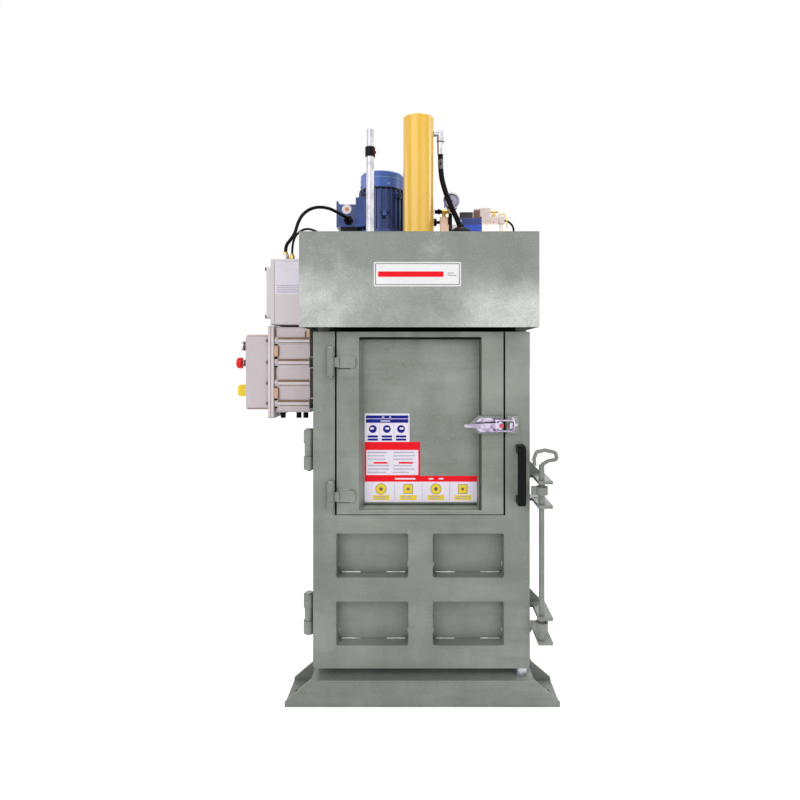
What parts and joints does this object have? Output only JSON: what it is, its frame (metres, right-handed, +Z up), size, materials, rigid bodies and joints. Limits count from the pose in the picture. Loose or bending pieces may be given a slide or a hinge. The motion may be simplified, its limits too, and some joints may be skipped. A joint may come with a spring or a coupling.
{
  "type": "recycling baler",
  "caption": "Small upright hydraulic baler with a full-height door, an inset feed door, a rotating lock rod and a motor-driven press on top.",
  "frame": {"origin": "on the floor, in the middle of the rectangle of the four floor bolt holes", "axes": "+Z up, -Y out of the door side, +X to the right as seen from the door side"},
  "size_m": [1.085, 0.705, 2.012],
  "materials": {
    "green_paint": "satin grey-green enamel",
    "header_paint": "worn satin grey-green enamel",
    "box_paint": "satin warm grey enamel",
    "motor_paint": "gloss blue enamel",
    "cowl_paint": "gloss blue enamel",
    "cylinder_paint": "gloss yellow enamel",
    "bright_steel": "turned bright steel",
    "chrome": "bright chrome plate",
    "brass": "machined brass",
    "black_plastic": "matt black moulding",
    "black_rubber": "matt black rubber",
    "red_plastic": "gloss red moulding",
    "yellow_plastic": "gloss yellow moulding",
    "mast_alloy": "brushed natural alloy",
    "valve_paint": "satin blue enamel",
    "coil_plastic": "matt pale moulding",
    "manifold_alloy": "pale passivated alloy"
  },
  "bodies": {
    "frame": {"blanking_plugs": "black_plastic", "brass_fittings": "brass", "cable_glands": "brass", "chamber_floor": "green_paint", "control_cable": "black_rubber", "crosshead": "green_paint", "cylinder_barrel": "cylinder_paint", "directional_valve": "valve_paint", "door_rest": "bright_steel", "fasteners": "bright_steel", "front_foot": "green_paint", "gauge_body": "black_plastic", "header_front": "header_paint", "header_top_plate": "green_paint", "header_wrap": "green_paint", "hinge_brackets": "green_paint", "hose_fittings": "bright_steel", "left_side_wall": "green_paint", "lock_brackets": "green_paint", "lower_box": "box_paint", "lower_box_cover": "box_paint", "mast_clamp": "black_plastic", "mast_post": "mast_alloy", "motor_body": "motor_paint", "motor_cable": "black_rubber", "motor_cowl": "cowl_paint", "oil_tank": "green_paint", "ram_hose": "black_rubber", "rear_foot": "green_paint", "rear_wall": "green_paint", "right_side_wall": "green_paint", "solenoid_coil": "coil_plastic", "upper_box": "box_paint", "upper_box_lid": "box_paint", "valve_manifold": "manifold_alloy"},
    "main_door": {"door_left_post": "green_paint", "door_right_post": "green_paint", "door_grid": "green_paint", "door_back_sheet": "green_paint", "door_knuckles": "green_paint", "hinge_pins": "bright_steel", "pull_handle": "black_plastic", "latch_keeper": "chrome"},
    "feed_door": {"feed_door_pan": "green_paint", "feed_door_back_sheet": "green_paint", "feed_hinge_straps": "green_paint", "latch_base": "chrome"},
    "lever": {"latch_lever": "chrome"},
    "hook": {"latch_hook": "chrome"},
    "lock": {"lock_rod": "bright_steel"},
    "ram": {"platen": "green_paint", "ram_rod": "bright_steel"},
    "rotor": {"motor_fan": "mast_alloy"},
    "relief": {"relief_knob": "black_plastic"},
    "needle": {"gauge_needle": "red_plastic"},
    "mast": {"mast_tube": "mast_alloy"},
    "clamp_button": {"mast_button": "red_plastic"},
    "start": {"start_button": "chrome"},
    "stop": {"stop_button": "red_plastic"},
    "selector": {"selector_knob": "yellow_plastic"}
  },
  "joints": [
    {"name": "main_door_hinge", "type": "hinge", "parent": "frame", "child": "main_door", "pos_m": [-0.37, -0.286, 0.549], "axis": [0, 0, 1], "range_deg": [-105, 0]},
    {"name": "feed_door_hinge", "type": "hinge", "parent": "main_door", "child": "feed_door", "pos_m": [-0.293, -0.327, 0.8865], "axis": [0, 0, 1], "range_deg": [-105, 0]},
    {"name": "latch_lever", "type": "hinge", "parent": "feed_door", "child": "lever", "pos_m": [0.246, -0.343, 0.901], "axis": [0, 0, 1], "range_deg": [0, 115]},
    {"name": "latch_hook", "type": "hinge", "parent": "lever", "child": "hook", "pos_m": [0.234, -0.349, 0.901], "axis": [0, 0, 1], "range_deg": [-115, 0]},
    {"name": "lock_rod", "type": "hinge", "parent": "frame", "child": "lock", "pos_m": [0.38, -0.335, 0.49], "axis": [0, 0, 1], "range_deg": [0, 100]},
    {"name": "ram_slide", "type": "slide", "parent": "frame", "child": "ram", "axis": [0, 0, -1], "range_m": [0, 0.46]},
    {"name": "motor_spin", "type": "hinge", "parent": "frame", "child": "rotor", "pos_m": [-0.162, 0.165, 1.7], "axis": [0, 0, 1], "continuous": true},
    {"name": "relief_turn", "type": "hinge", "parent": "frame", "child": "relief", "pos_m": [0.05, 0.122, 1.65], "axis": [1, 0, 0], "range_deg": [-170, 170]},
    {"name": "gauge_sweep", "type": "hinge", "parent": "frame", "child": "needle", "pos_m": [0.11, 0.018, 1.707], "axis": [0, 1, 0], "range_deg": [0, 270]},
    {"name": "mast_slide", "type": "slide", "parent": "frame", "child": "mast", "axis": [0, 0, 1], "range_m": [-0.04, 0.19]},
    {"name": "clamp_press", "type": "slide", "parent": "frame", "child": "clamp_button", "axis": [-1, 0, 0], "range_m": [0, 0.003], "stiffness_N_per_m": 400},
    {"name": "start_press", "type": "slide", "parent": "frame", "child": "start", "axis": [1, 0, 0], "range_m": [0, 0.004], "stiffness_N_per_m": 600},
    {"name": "stop_press", "type": "slide", "parent": "frame", "child": "stop", "axis": [1, 0, 0], "range_m": [0, 0.004], "stiffness_N_per_m": 800},
    {"name": "selector_turn", "type": "hinge", "parent": "frame", "child": "selector", "pos_m": [-0.62, -0.16, 1.002], "axis": [1, 0, 0], "range_deg": [-45, 45]}
  ],
  "couplings": [
    {"joint": "latch_hook", "follows": "latch_lever", "ratio": -1}
  ]
}
